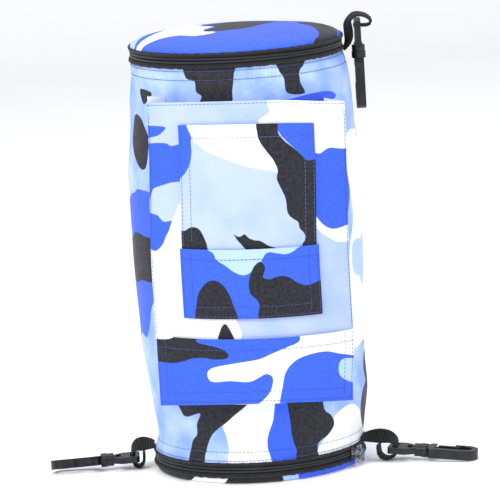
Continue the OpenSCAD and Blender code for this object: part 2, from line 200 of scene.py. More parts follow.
# On the wall the first number is degrees round from the front, positive towards +X
WALL_PRINT = {
    "royal": [
        [(-82, 226), (-72, 228), (-64, 233), (-50, 230), (-48, 210), (-50, 192), (-82, 188)],
        [(-84, 160), (-50, 163), (-54, 150), (-60, 138), (-63, 126), (-70, 112), (-82, 116), (-88, 136)],
        [(48, 254), (66, 250), (61, 205), (50, 198)],
        [(12, 300), (26, 303), (40, 305), (52, 304), (56, 298), (30, 294)],
        [(8, 72), (8, 53), (5, 40), (4, 30), (5, 8), (20, 8), (19, 34), (18, 72)],
        [(100, 330), (118, 336), (136, 322), (128, 296), (138, 276), (120, 262), (104, 282)],
        [(-170, 300), (-150, 308), (-130, 296), (-124, 270), (-140, 256), (-160, 262), (-172, 280)],
        [(120, 170), (142, 186), (166, 176), (172, 150), (158, 128), (134, 138), (118, 150)],
        [(-128, 130), (-108, 150), (-98, 126), (-104, 92), (-122, 70), (-138, 90)],
        [(100, 70), (124, 84), (140, 62), (132, 30), (112, 8), (100, 30)],
        [(-176, 90), (-160, 110), (-146, 84), (-156, 50), (-172, 40)],
    ],
    "white": [
        [(62, 262), (84, 268), (104, 250), (98, 220), (112, 190), (108, 150), (118, 120), (104, 96),
         (84, 102), (70, 94), (56, 104), (58, 160), (66, 205)],
        [(32, 8), (33, 21), (37, 28), (44, 38), (43, 44), (47, 49), (55, 52), (62, 50), (70, 42), (80, 28),
         (82, 8)],
        [(-5, 72), (-12, 57), (-19, 48), (-18, 40), (-17, 28), (-17, 8), (5, 8), (4, 30), (5, 40), (8, 53),
         (8, 72)],
        [(140, 330), (158, 316), (174, 330), (176, 290), (160, 268), (146, 280)],
        [(-120, 340), (-100, 330), (-92, 300), (-104, 284), (-122, 300)],
        [(-176, 236), (-158, 244), (-136, 226), (-140, 196), (-160, 182), (-177, 200)],
        [(146, 108), (168, 116), (177, 84), (170, 40), (150, 30), (140, 66)],
        [(-120, 56), (-100, 62), (-84, 36), (-90, 8), (-118, 8), (-130, 30)],
    ],
    "pale": [[(66, 182), (63, 170), (64, 158), (70, 150), (82, 144), (94, 152), (92, 176), (80, 184)]],
    "black": [
        [(-29, 340), (-28, 324), (-23, 321), (-22, 313), (-19, 309), (-21, 300), (-5, 300), (-3, 314),
         (-2, 324), (-2, 340)],
        [(22, 340), (22, 326), (24, 320), (25, 308), (35, 306), (33, 315), (34, 324), (38, 328), (42, 340)],
        [(-64, 312), (-52, 311), (-54, 306), (-60, 301)],
        [(-74, 290), (-64, 290), (-59, 283), (-55, 275), (-55, 265), (-57, 251), (-64, 250), (-70, 257),
         (-76, 272)],
        [(-88, 190), (-48, 194), (-52, 163), (-70, 160), (-84, 163)],
        [(77, 87), (96, 84), (108, 60), (98, 26), (88, 22), (78, 30), (70, 41), (71, 60)],
        [(17, 72), (17, 46), (18, 34), (20, 23), (20, 8), (34, 8), (33, 20), (34, 27), (40, 32), (44, 39),
         (42, 47), (37, 54), (34, 72)],
        [(-46, 72), (-45, 56), (-41, 53), (-32, 57), (-35, 48), (-36, 39), (-40, 33), (-42, 23), (-43, 8),
         (-34, 8), (-31, 26), (-27, 38), (-22, 45), (-14, 54), (-4, 72)],
        [(84, 340), (98, 336), (106, 306), (94, 284), (82, 296)],
        [(112, 246), (136, 258), (150, 236), (168, 240), (176, 214), (158, 200), (138, 208), (120, 196),
         (108, 214)],
        [(-118, 262), (-100, 276), (-88, 250), (-98, 214), (-114, 196), (-132, 214)],
        [(-176, 176), (-152, 172), (-134, 150), (-144, 122), (-164, 128), (-177, 146)],
        [(116, 122), (134, 116), (138, 92), (122, 84), (110, 98)],
        [(-150, 60), (-134, 66), (-124, 34), (-138, 8), (-160, 8), (-166, 34)],
        [(136, 30), (156, 24), (176, 34), (174, 8), (140, 8)],
    ],
}
# On the lids both numbers are X and Y
TOP_LID_PRINT = {
    "white": [
        [(-80, -42), (-70, -6), (-57, 27), (-44, 66), (-29, 50), (-15, 24), (-25, -4), (-15, -22),
         (-31, -31), (-44, -19), (-58, -24)],
    ],
    "pale": [[(-90, -44), (-84, 0), (-74, 34), (-54, 68), (-66, 36), (-76, 0), (-83, -44)],
             [(-20, 92), (6, 78), (30, 70), (44, 84), (20, 96)]],
    "black": [
        [(-28, 36), (-17, 48), (-4, 52), (9, 51), (33, 37), (20, 11), (6, -11), (-14, -17), (-25, -8),
         (-15, 12)],
        [(50, 24), (60, 36), (72, 30), (80, 0), (78, -37), (60, -62), (66, -37), (60, 0), (54, 10)],
    ],
}
BOTTOM_LID_PRINT = {
    "white": [[(-62, -60), (-52, -50), (-30, -48), (-24, -90), (-70, -90)], [(20, 40), (44, 62), (66, 40),
               (40, 20)]],
    "pale": [[(15, -90), (12, -60), (24, -54), (30, -90)], [(-60, 20), (-40, 44), (-18, 40), (-30, 10)]],
    "black": [
        [(-24, -92), (-28, -50), (0, -36), (12, -60), (15, -92)],
        [(-95, 20), (-70, 10), (-62, -45), (-56, -66), (-60, -90), (-95, -70)],
        [(-20, 60), (6, 84), (20, 60), (4, 20), (-16, 30)],
        [(40, -10), (70, 0), (80, -20), (60, -40)],
    ],
}

# ---- materials ----


class Shader:
    """A small builder for one procedural material."""

    def __init__(self, name, base=(0.5, 0.5, 0.5), roughness=0.5, **settings):
        self.material = bpy.data.materials.new(name)
        self.material.use_nodes = True
        self.tree = self.material.node_tree
        self.surface = self.tree.nodes["Principled BSDF"]
        self.surface.inputs["Base Color"].default_value = (*base, 1)
        self.surface.inputs["Roughness"].default_value = roughness
        self.material.diffuse_color = (*base, 1)
        for key, value in settings.items():
            self.surface.inputs[key.replace("_", " ")].default_value = value

    def node(self, kind, inputs=None, **settings):
        made = self.tree.nodes.new("ShaderNode" + kind)
        for key, value in settings.items():
            setattr(made, key, value)
        for key, value in (inputs or {}).items():
            if isinstance(value, bpy.types.NodeSocket):
                self.tree.links.new(value, made.inputs[key])
            else:
                made.inputs[key].default_value = value
        return made

    def math(self, operation, a, b=0.0):
        return self.node("Math", {0: a, 1: b}, operation=operation).outputs[0]

    def attribute(self, name, socket="Fac"):
        return self.node("Attribute", attribute_name=name).outputs[socket]

    def place(self, own):
        """The piece's own millimetre coordinates, or the object's for a CAD node."""
        if own:
            return self.attribute("mm", "Vector")
        where = self.node("TexCoord").outputs["Object"]
        return self.node("VectorMath", {0: where, 1: (1000, 1000, 1000)}, operation="MULTIPLY").outputs[0]

    def noise(self, where, scale, detail=3.0):
        return self.node("TexNoise", {"Vector": where, "Scale": scale, "Detail": detail}).outputs["Fac"]

    def span(self, value, low, high, to_low=0.0, to_high=1.0):
        return self.node("MapRange", {"Value": value, "From Min": low, "From Max": high, "To Min": to_low,
                                      "To Max": to_high}).outputs["Result"]

    def mix(self, factor, a, b, blend="MIX"):
        made = self.node("Mix", {"Factor": factor}, data_type="RGBA", blend_type=blend)
        for value, socket in ((a, made.inputs[6]), (b, made.inputs[7])):
            if isinstance(value, bpy.types.NodeSocket):
                self.tree.links.new(value, socket)
            else:
                socket.default_value = (*value, 1)
        return made.outputs[2]

    def colour(self, socket):
        self.tree.links.new(socket, self.surface.inputs["Base Color"])

    def rough(self, socket):
        self.tree.links.new(socket, self.surface.inputs["Roughness"])

    def bump(self, height, distance, strength=0.5):
        made = self.node("Bump", {"Height": height, "Strength": strength, "Distance": distance * MM})
        self.tree.links.new(made.outputs[0], self.surface.inputs["Normal"])

    def weave(self, where, pitch):
        """Over and under threads at a pitch in millimetres, from -1 to 1."""
        parts = self.node("SeparateXYZ", {0: where}).outputs
        waves = [self.math("SINE", self.math("MULTIPLY", p, PI / pitch)) for p in parts[:3]]
        return self.math("ADD", self.math("MULTIPLY", waves[0], waves[1]),
                         self.math("MULTIPLY", waves[2], 0.4))


SKY = (0.34, 0.52, 0.94)
INKS = {"frost": (0.46, 0.55, 0.79), "royal": (0.026, 0.105, 0.80), "white": (0.88, 0.895, 0.93),
        "pale": (0.42, 0.59, 0.95), "black": (0.0045, 0.0045, 0.011)}


def camo_material():
    s = Shader("camo_print", SKY, 0.58, Sheen_Weight=0.08, Sheen_Roughness=0.45, Specular_IOR_Level=0.28)
    where = s.place(True)
    soft = s.noise(where, 0.035, 4.0)
    colour = s.mix(s.span(soft, 0.36, 0.72), (0.225, 0.38, 0.90), (0.50, 0.64, 0.95))
    haze = s.mix(s.span(s.noise(where, 0.022, 3.0), 0.45, 0.7), INKS["frost"], (0.34, 0.48, 0.86))
    for layer in LAYERS:
        ragged = s.math("SUBTRACT", s.noise(where, 0.9), 0.5)
        edge = s.math("ADD", s.attribute(layer), s.math("MULTIPLY", ragged, 0.5))
        colour = s.mix(s.span(edge, -0.3, 0.3), colour, haze if layer == "frost" else INKS[layer])
    threads = s.weave(where, 0.55)
    colour = s.mix(s.span(threads, -1, 1, 0.0, 0.09), colour, (0.0, 0.0, 0.0))
    colour = s.mix(s.span(s.noise(where, 0.4, 2.0), 0.35, 0.75, 0.0, 0.02), colour, (1.0, 1.0, 1.0))
    s.colour(colour)
    s.rough(s.span(s.noise(where, 0.12), 0.3, 0.7, 0.5, 0.64))
    s.bump(threads, 0.08, 0.55)
    return s.material


def cloth_material(name, base, pitch, deep=0.08, lift=0.05, roughness=0.7, sheen=0.3, fade=0.2):
    """Plain woven cloth with slub and slight fading."""
    s = Shader(name, base, roughness, Sheen_Weight=sheen, Sheen_Roughness=0.5, Specular_IOR_Level=0.3)
    where = s.place(True)
    threads = s.weave(where, pitch)
    lighter = tuple(min(c * (1 + 1.25 * fade) + lift * 0.4, 1) for c in base)
    darker = tuple(c * (1 - fade) for c in base)
    colour = s.mix(s.span(s.noise(where, 0.09, 4.0), 0.3, 0.7), darker, lighter)
    colour = s.mix(s.span(threads, -1, 1, 0, 0.22), colour, tuple(c * 0.3 for c in base))
    s.colour(colour)
    s.rough(s.span(s.noise(where, 0.3), 0.3, 0.7, roughness - 0.07, roughness + 0.08))
    s.bump(threads, deep, 0.6)
    return s.material


def webbing_material():
    """Ribbed webbing, with a painted highlight along each ridge and painted shade in the grooves between them.
    """
    s = Shader("ribbed_webbing", (0.009, 0.009, 0.012), 0.6, Sheen_Weight=0.03, Specular_IOR_Level=0.25)
    where = s.place(True)
    along = s.node("SeparateXYZ", {0: where}).outputs[0]
    # painted highlight on each rib and painted shade in the grooves between, in step with the ribs' relief
    painted_rib_highlight = s.math("COSINE", s.math("MULTIPLY", along, 2 * PI / RIB_PITCH))
    threads = s.weave(where, 0.7)
    colour = s.mix(s.span(painted_rib_highlight, 0.1, 1.0), (0.0012, 0.0012, 0.002), (0.022, 0.022, 0.027))
    s.colour(s.mix(s.span(threads, -1, 1, 0, 0.35), colour, (0.004, 0.004, 0.005)))
    s.rough(s.span(s.noise(where, 0.3), 0.3, 0.7, 0.55, 0.7))
    s.bump(threads, 0.12, 0.6)
    return s.material


def plastic_material():
    """Moulded black acetal: satin, faintly grained, a little paler where it has been handled."""
    s = Shader("moulded_plastic", (0.013, 0.013, 0.016), 0.36, Specular_IOR_Level=0.4)
    where = s.place(False)
    worn = s.noise(where, 0.11, 5.0)
    s.colour(s.mix(s.span(worn, 0.45, 0.8), (0.006, 0.006, 0.009), (0.018, 0.018, 0.024)))
    s.rough(s.span(s.noise(where, 0.5), 0.3, 0.7, 0.28, 0.44))
    s.bump(s.noise(where, 4.0, 2.0), 0.05, 0.35)
    return s.material


def metal_material():
    """Bright plating with fine rubbing marks."""
    s = Shader("bright_plating", (0.78, 0.79, 0.81), 0.2, Metallic=1.0)
    where = s.place(False)
    rubbed = s.noise(s.node("Mapping", {"Vector": where, "Scale": (0.6, 0.6, 7.0)}).outputs[0], 0.8, 3.0)
    s.colour(s.mix(s.span(rubbed, 0.3, 0.75), (0.40, 0.41, 0.45), (0.62, 0.63, 0.66)))
    s.rough(s.span(rubbed, 0.3, 0.7, 0.12, 0.34))
    s.bump(rubbed, 0.02, 0.3)
    return s.material


def foam_material():
    s = Shader("closed_cell_foam", (0.85, 0.85, 0.78), 0.85)
    where = s.place(False)
    cells = s.node("TexVoronoi", {"Vector": where, "Scale": 1.6}).outputs["Distance"]
    s.colour(s.mix(s.span(s.noise(where, 0.08), 0.3, 0.7), (0.8, 0.8, 0.72), (0.9, 0.9, 0.84)))
    s.bump(cells, 0.2, 0.5)
    return s.material


def thread_material(name, base):
    """Twisted sewing thread, with its plies shown by fine slanted bands: a bump, with a painted highlight on
    the ply crests and painted shade in the grooves.
    """
    s = Shader(name, base, 0.55, Sheen_Weight=0.2)
    where = s.place(True)
    parts = s.node("SeparateXYZ", {0: where}).outputs
    twist = s.math("SINE", s.math("MULTIPLY", s.math("ADD", parts[0], parts[1]), 9.0))
    # painted shade (a darker copy of the thread colour) in the grooves between plies and a painted highlight (a
    # lighter copy) on their crests, in step with the bump
    s.colour(s.mix(s.span(twist, -1, 1), tuple(c * 0.6 for c in base), tuple(min(c * 1.4, 1) for c in base)))
    s.bump(twist, 0.06, 0.6)
    return s.material


MATERIALS = {
    "camo": camo_material(),
    "gusset": cloth_material("white_gusset_cloth", (0.82, 0.85, 0.92), 0.5, lift=0.0, sheen=0.1, fade=0.04),
    "lining": cloth_material("lining_cloth", (0.10, 0.105, 0.125), 0.5, fade=0.08),
    "binding": cloth_material("ribbon_binding", (0.008, 0.008, 0.011), 0.45, deep=0.1, lift=0.01, sheen=0.05),
    "tape": cloth_material("zip_tape_cloth", (0.006, 0.006, 0.008), 0.35, lift=0.01, sheen=0.05),
    "webbing": webbing_material(),
    "coil": Shader("nylon_coil", (0.055, 0.055, 0.065), 0.3, Specular_IOR_Level=0.6).material,
    "plastic": plastic_material(),
    "metal": metal_material(),
    "foam": foam_material(),
    "navy_thread": thread_material("navy_thread", (0.03, 0.055, 0.28)),
    "blue_thread": thread_material("blue_thread", (0.05, 0.10, 0.40)),
    "black_thread": thread_material("black_thread", (0.02, 0.02, 0.024)),
}

# ---- mesh building ----


def make_object(name, vertices, faces, material, mm=None, paints=None, sharp=38):
    """A smooth-shaded object from millimetre points, with its cloth coordinates and print distances."""
    mesh = bpy.data.meshes.new(name)
    mesh.from_pydata((np.asarray(vertices, float) * MM).tolist(), [], [list(map(int, f)) for f in faces])
    if mm is not None:
        mesh.attributes.new("mm", "FLOAT_VECTOR", "POINT").data.foreach_set(
            "vector", np.asarray(mm, np.float32).ravel())
    for layer, values in (paints or {}).items():
        mesh.attributes.new(layer, "FLOAT", "POINT").data.foreach_set("value", np.asarray(values, np.float32))
    edit = bmesh.new()
    edit.from_mesh(mesh)
    bmesh.ops.remove_doubles(edit, verts=edit.verts, dist=2e-6)
    bmesh.ops.recalc_face_normals(edit, faces=edit.faces)
    edit.to_mesh(mesh)
    edit.free()
    mesh.shade_smooth()
    mesh.set_sharp_from_angle(angle=math.radians(sharp))
    mesh.materials.append(material)
    made = bpy.data.objects.new(name, mesh)
    bpy.context.scene.collection.objects.link(made)
    return made


def attach(piece, body, nodes=()):
    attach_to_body(piece, body)
    if nodes:
        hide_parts(*nodes)
    return piece


def grid_faces(rows, columns, start, closed, flip):
    faces = []
    for i in range(rows - 1):
        for j in range(columns if closed else columns - 1):
            k = (j + 1) % columns
            face = (start + i * columns + j, start + i * columns + k,
                    start + (i + 1) * columns + k, start + (i + 1) * columns + j)
            faces.append(face[::-1] if flip else face)
    return faces


def paint_values(prints, where, base_royal=False):
    values = {}
    for layer in LAYERS:
        best = np.full(len(where), -9.0)
        for outline in prints.get(layer, []):
            best = np.maximum(best, inside_distance(outline, where))
        if layer == "royal" and base_royal:
            best = np.full(len(where), 9.0)
        values[layer] = best
    return values


def slab(name, front, back, material, uv, closed=False, prints=None, base_royal=False, print_uv=None):
    """A closed cloth of real thickness between two grids of points, rows by columns."""
    rows, columns = front.shape[:2]
    count = rows * columns
    faces = grid_faces(rows, columns, 0, closed, False) + grid_faces(rows, columns, count, closed, True)
    for row in (0, rows - 1):
        for j in range(columns if closed else columns - 1):
            a, b = row * columns + j, row * columns + (j + 1) % columns
            faces.append((a, b, count + b, count + a))
    if not closed:
        for column in (0, columns - 1):
            for i in range(rows - 1):
                a, b = i * columns + column, (i + 1) * columns + column
                faces.append((a, b, count + b, count + a))
    flat = uv.reshape(-1, 2)
    where = np.concatenate([flat, flat])
    paints = None
    if prints is not None:
        half = paint_values(prints, flat if print_uv is None else print_uv.reshape(-1, 2), base_royal)
        paints = {k: np.concatenate([v, v]) for k, v in half.items()}
    mm = np.concatenate([where, np.zeros((len(where), 1))], 1)
    points = np.concatenate([front.reshape(-1, 3), back.reshape(-1, 3)])
    return make_object(name, points, faces, material, mm, paints)


def lathe(name, section, material, span=360.0, start=0.0, step=2.0, wobble=None):
    """A closed section of radius and height turned about the bag's axis."""
    section = np.asarray(section, float)
    full = span >= 360
    count = int(round(span / step)) + (0 if full else 1)
    angles = np.radians(start + np.arange(count) * (span / (count if full else count - 1)))
    points = np.zeros((count, len(section), 3))
    radius = np.broadcast_to(section[None, :, 0], (count, len(section))).copy()
    height = np.broadcast_to(section[None, :, 1], (count, len(section))).copy()
    if wobble is not None:
        radius, height = wobble(angles[:, None], radius, height)
    points[..., 0] = radius * np.cos(angles)[:, None]
    points[..., 1] = radius * np.sin(angles)[:, None]
    points[..., 2] = height
    n = len(section)
    faces = []
    for i in range(count if full else count - 1):
        k = (i + 1) % count
        for j in range(n):
            m = (j + 1) % n
            faces.append((i * n + j, k * n + j, k * n + m, i * n + m))
    if not full:
        faces += [tuple(range(n)), tuple((count - 1) * n + j for j in range(n))[::-1]]
    along = np.cumsum(np.concatenate([[0], np.hypot(*np.diff(section, axis=0).T)]))
    mm = np.stack(np.broadcast_arrays(angles[:, None] * RIM_R, along[None, :], 0.0), -1).reshape(-1, 3)
    return make_object(name, points.reshape(-1, 3), faces, material, mm, sharp=50)


def round_section(r0, r1, z0, z1, corner):
    """A rectangle of radius and height with round corners."""
    points = []
    for cx, cz, a0 in ((r1 - corner, z1 - corner, 0), (r0 + corner, z1 - corner, 90),
                       (r0 + corner, z0 + corner, 180), (r1 - corner, z0 + corner, 270)):
        for a in (0, 30, 60, 90):
            t = math.radians(a0 + a)
            points.append((cx + corner * math.cos(t), cz + corner * math.sin(t)))
    return points


# ---- surfaces: a function of the cloth's own coordinates, giving points in millimetres ----

WALL_SHAPE = ((0, 0.91), (0.008, 0.91), (0.035, 0.905), (0.11, 0.938), (0.29, 0.976), (0.5, 1), (0.7, 0.998),
              (0.9, 0.973), (0.965, 0.949), (0.992, 0.91), (1, 0.91))


def smooth_profile():
    """The CAD's wall profile, with its corners rounded as fabric rounds them."""
    z = np.linspace(0, 1, 401)
    r = np.interp(z, *np.array(WALL_SHAPE).T)
    kernel = np.hanning(25)
    kernel /= kernel.sum()
    for _ in range(2):
        padded = np.concatenate([2 * r[0] - r[12:0:-1], r, 2 * r[-1] - r[-2:-14:-1]])
        r = np.convolve(padded, kernel, "valid")
    keep = smoothstep(z, 0, 0.03) * (1 - smoothstep(z, 0.985, 1))
    return z, MID_R * (r * keep + 0.911 * (1 - keep))


PROFILE = smooth_profile()


def profile_radius(z):
    return np.interp((z - WALL_Z0) / (WALL_Z1 - WALL_Z0), *PROFILE)


def groove(z, rows, depth, width):
    """A sewn row draws the padding in along its line."""
    return sum(-depth * np.exp(-((z - row) / width) ** 2) for row in rows)


def wall_lean(a, z):
    """The bag stands a little askew, its ends shifted towards +X, with a hollow that clears the top hook."""
    high = smoothstep(z, 235, 285) * (1 - smoothstep(z, 318, 331))
    low = smoothstep(z, 17, 32) * (1 - smoothstep(z, 52, 105))
    side = np.sin(a)
    bulge = 1.6 * np.exp(-((a - 1.45) / 0.25) ** 2 - ((z - 60) / 16) ** 2)
    hollow = 2.0 * np.exp(-((a - PI / 2) / 0.16) ** 2)
    hollow = hollow * smoothstep(z, 258, 275) * (1 - smoothstep(z, 318, 331))
    return np.where(side > 0, 1.4, 3.0) * side * (high + low) + bulge - hollow


def wall_relief(a, z):
    """How far the padded wall stands out from its plain profile: gathers, seam puckers and soft dents."""
    u = a * MID_R
    near_top = np.exp(-np.maximum(WALL_Z1 - z, 0) / 13)
    near_bottom = np.exp(-np.maximum(z - WALL_Z0, 0) / 15)
    gathers = np.sin(a * 44 + 1.7 * np.sin(a * 5)) + 0.6 * np.sin(a * 71 + 2 * np.sin(a * 7 + 1))
    low_gathers = np.sin(a * 38 + 1.9 * np.sin(a * 6 + 2)) + 0.6 * np.sin(a * 63 + 2 * np.sin(a * 9))
    relief = 0.34 * near_top * gathers + 0.42 * near_bottom * low_gathers
    relief = relief + 0.55 * ripple(u, z * 0.8, 3, 130) + 0.16 * ripple(u, z, 5, 42)
    pucker = 0.5 + 0.5 * np.sin(u * 2 * PI / PUCKER_PITCH)
    sewn = groove(z, TOP_ROWS, 0.55, 1.3) + groove(z, BOTTOM_ROWS, 0.6, 1.3)
    relief = relief + sewn * (0.75 + 0.4 * pucker)
    hold = smoothstep(z, WALL_Z0, WALL_Z0 + 4) * (1 - smoothstep(z, WALL_Z1 - 4, WALL_Z1))
    return relief * (0.15 + 0.85 * hold) - 0.3 + wall_lean(a, z)


def wall_point(a, z, out=0.0):
    """a is radians round from the front, positive towards +X."""
    a, z = np.broadcast_arrays(np.asarray(a, float), np.asarray(z, float))
    r = profile_radius(z) + wall_relief(a, z) + out
    return np.stack([r * np.sin(a), -r * np.cos(a), z], -1)


def panel_sway(u, z):
    """Soft hang of the whole pocket front, shared by everything sewn to it."""
    edge = smoothstep(PANEL_HALF - np.abs(u), 0, 26)
    return 0.5 * edge * ripple(u, z, 11, 95) + 0.12 * ripple(u, z, 12, 30)


def pocket_u(u, z):
    """The pocket cloth is drawn in sideways, most at its upper left and lower right corners."""
    left = 3.5 + 5.5 * smoothstep(z, 170, 290)
    right = 4.0 * (1 - smoothstep(z, 65, 115))
    drawn_in = 1 - np.where(u < 0, left, right) / PANEL_HALF
    return u * drawn_in + 4.0 * smoothstep(u, 0, 50) * smoothstep(z, 170, 290)


def pocket_z(u, z):
    """Its lower corners hang lower than the middle of its lower edge, and its hem is pulled up."""
    foot = (1 - smoothstep(z, 68, 118)) * (3.6 - 5.0 * (u / PANEL_HALF) ** 2)
    hem = 6.5 - 3.0 * (u / PANEL_HALF) ** 2 - 3.8 * smoothstep(u, 10, PANEL_HALF)
    return z + foot + hem * smoothstep(z, 240, 300)


def pocket_uv(uv):
    """Where on the pocket's front each cloth coordinate lies, for the print."""
    u, z = uv[..., 0], uv[..., 1]
    return np.stack([pocket_u(u, z), pocket_z(u, z)], -1)


def panel_point(u, z, out=0.0):
    """Out is measured from the panel's face. The pocket sags a little towards +X."""
    u, z, out = np.broadcast_arrays(np.asarray(u, float), np.asarray(z, float), np.asarray(out, float))
    a = pocket_u(u, z) / PANEL_R
    r = PANEL_R - 0.2 + panel_sway(u, z) + out
    return np.stack([r * np.sin(a), PANEL_Y - r * np.cos(a), pocket_z(u, z) - 0.03 * u], -1)


def patch_relief(u, z, half, z0, z1, puff, seed):
    """Fullness of a patch pocket, held down at its sewn sides and foot and easing out at its hem."""
    side = half - np.abs(u)
    bottom = z - z0
    sewn = np.minimum(side, bottom)
    full = 1 - np.exp(-np.maximum(sewn - 1, 0) / 15)
    rows = sum(np.exp(-((sewn - row) / 1.1) ** 2) for row in (1.6, 9.5))
    pull = np.sin(np.where(side < bottom, z, u) * 2 * PI / PUCKER_PITCH)
    relief = puff * full + 0.35 * ripple(u, z, seed, 38) * full - rows * (0.36 + 0.12 * pull)
    hem = np.exp(-(((z1 - z) - 9) / 1.1) ** 2) * smoothstep(side, 0, 4)
    return np.maximum(relief - 0.35 * hem, 0.0)


def rounded(uv, bounds, t):
    """Share of the thickness left near the cloth's edge, so that the edge is round."""
    (u0, u1), (z0, z1) = bounds
    d = np.minimum(np.minimum(uv[..., 0] - u0, u1 - uv[..., 0]), np.minimum(uv[..., 1] - z0, z1 - uv[..., 1]))
    x = np.clip(d / (0.7 * t), 0, 1)
    return 0.3 + 0.7 * np.sqrt(1 - (1 - x) ** 2)


def cloth_grid(u0, u1, z0, z1, step, edge=0.5):
    """Rows by columns of cloth coordinates, with an extra row close to each edge."""
    def line(a, b):
        n = max(int(round((b - a) / step)), 2)
        inner = np.linspace(a, b, n + 1)[1:-1]
        return np.concatenate([[a, a + edge, a + 2 * edge], inner, [b - 2 * edge, b - edge, b]])
    return np.stack(np.meshgrid(line(u0, u1), line(z0, z1)), -1)


def curved_patch(name, half, z0, z1, stand, relief, prints, base_royal, step=1.5, t=PATCH_T):
    uv = cloth_grid(-half, half, z0, z1, step)
    u, z = uv[..., 0], uv[..., 1]
    bulge = relief(u, z)
    thick = t * rounded(uv, ((-half, half), (z0, z1)), t)
    front = panel_point(u, z, stand + bulge + t / 2 + thick / 2)
    back = panel_point(u, z, stand + bulge * 0.92 + t / 2 - thick / 2)
    return slab(name, front, back, MATERIALS["camo"], uv, prints=prints, base_royal=base_royal,
                print_uv=pocket_uv(uv))


# ---- stitches ----


def stitches(name, rows, material, pitch=3.2, length=2.8, radius=0.26):
    """Each row is a line of points and outward directions in millimetres, close together."""
    vertices, faces, mm = [], [], []
    for points, out in rows:
        points, out = np.asarray(points, float), np.asarray(out, float)
        s = np.concatenate([[0], np.cumsum(np.linalg.norm(np.diff(points, axis=0), axis=1))])
        for at in np.arange(pitch / 2, s[-1], pitch):
            ends = [np.array([np.interp(at + d, s, points[:, k]) for k in range(3)])
                    for d in (-length / 2, length / 2)]
            n = np.array([np.interp(at, s, out[:, k]) for k in range(3)])
            n /= np.linalg.norm(n)
            along = ends[1] - ends[0]
            along /= max(np.linalg.norm(along), 1e-9)
            side = np.cross(n, along)
            base = len(vertices)
            rings = ((0.0, 0.35, -0.25), (0.22, 0.95, 0.05), (0.78, 0.95, 0.05), (1.0, 0.35, -0.25))
            for share, size, lift in rings:
                centre = ends[0] + (ends[1] - ends[0]) * share + n * lift
                for k in range(6):
                    c, d = math.cos(k * PI / 3), math.sin(k * PI / 3)
                    vertices.append(centre + (side * c + n * d * 0.85) * radius * size)
                    mm.append((share * length, k * 0.35, 0))
            for ring in range(3):
                for k in range(6):
                    a, b = base + ring * 6 + k, base + ring * 6 + (k + 1) % 6
                    faces.append((a, b, b + 6, a + 6))
            faces.append([base + k for k in range(6)][::-1])
            faces.append([base + 18 + k for k in range(6)])
    return make_object(name, vertices, faces, material, mm, sharp=80)


def sewn_row(where, start, end, out):
    """A row of stitching on a surface function, from one pair of cloth coordinates to another."""
    n = max(int(math.dist(start, end) / 2), 2)
    u, z = np.linspace(start[0], end[0], n), np.linspace(start[1], end[1], n)
    points = where(u, z, out)
    return points, where(u, z, out + 1) - points


# ---- the padded wall ----

STEP_WALL = 2.4
wall_columns = int(round(2 * PI * MID_R / STEP_WALL))
wall_a = -PI + (np.arange(wall_columns) + 0.5) * 2 * PI / wall_columns
wall_z = np.concatenate([[WALL_Z0, WALL_Z0 + 0.6], np.linspace(WALL_Z0 + 1.6, WALL_Z1 - 1.6, 132),
                         [WALL_Z1 - 0.6, WALL_Z1]])
wall_grid_a, wall_grid_z = np.meshgrid(wall_a, wall_z)
wall_uv = np.stack([wall_grid_a * PRINT_R, wall_grid_z], -1)


def degrees_to_mm(prints):
    return {layer: [[(math.radians(a) * PRINT_R, z) for a, z in outline] for outline in outlines]
            for layer, outlines in prints.items()}


def wandering(uv):
    """Behind the pocket and round the back the print's outlines wander, as camouflage does."""
    u, z = uv[..., 0], uv[..., 1]
    amount = smoothstep(np.abs(u), 92, 135) * smoothstep(283 - np.abs(u), 0, 22)
    return np.stack([u + amount * (9 * ripple(u, z, 71, 62) + 5 * ripple(u, z, 72, 30)),
                     z + amount * (9 * ripple(u, z, 73, 55) + 5 * ripple(u, z, 74, 28))], -1)


def plain_wall(inset):
    share = (wall_grid_z - WALL_Z0) / (WALL_Z1 - WALL_Z0)
    r = MID_R * np.interp(share, *np.array(WALL_SHAPE).T) - inset
    return np.stack([r * np.sin(wall_grid_a), -r * np.cos(wall_grid_a), wall_grid_z], -1)


bag_wall = slab("bag_wall", wall_point(wall_grid_a, wall_grid_z), plain_wall(PAD_T), MATERIALS["camo"],
                wall_uv, closed=True, prints=degrees_to_mm(WALL_PRINT), print_uv=wandering(wall_uv))
attach(bag_wall, "bag", ("outer_shell", "foam_wall"))
bag_lining = slab("bag_lining", plain_wall(PAD_T + 0.1), plain_wall(WALL_T - 0.25), MATERIALS["lining"],
                  wall_uv, closed=True)
attach(bag_lining, "bag", ("inner_lining",))

around = np.radians(np.arange(-180, 181, 1.0))
wall_rows = []
for height in (*TOP_ROWS, *BOTTOM_ROWS):
    points = wall_point(around, np.full_like(around, height), 0.35)
    wall_rows.append((points, wall_point(around, np.full_like(around, height), 1.35) - points))
attach(stitches("wall_stitches", wall_rows, MATERIALS["navy_thread"]), "bag")

# ---- the lids ----

LID_A = np.radians(np.arange(0, 360, 1.8))


def dome(inset, relief=0.0):
    """Rows from the rim to the middle, in the dome shape of the CAD."""
    base = TOP_ZIP + EDGE
    rise = BAG_H - base
    turn = np.radians(90 * np.linspace(0, 1, 40) ** 1.15)
    r = (RIM_R - inset) * np.cos(turn) ** SHOULDER
    z = base + (rise - inset) * np.sin(turn) ** SHOULDER
    r, z, a = (x + 0 * LID_A[None, :] for x in (r[:, None], z[:, None], LID_A[None, :]))
    share = r / RIM_R
    gathers = 0.28 * smoothstep(share, 0.75, 0.97) * np.sin(a * 46 + 2 * np.sin(a * 5))
    bump = relief * (0.5 * ripple(r * np.cos(a), r * np.sin(a), 21, 70) + gathers) * (1 - 0.6 * share)
    return np.stack([r * np.cos(a), r * np.sin(a), z + bump - 0.35 * relief * smoothstep(share, 0, 0.9)], -1)


def disc_uv(points):
    return points[..., :2].copy()


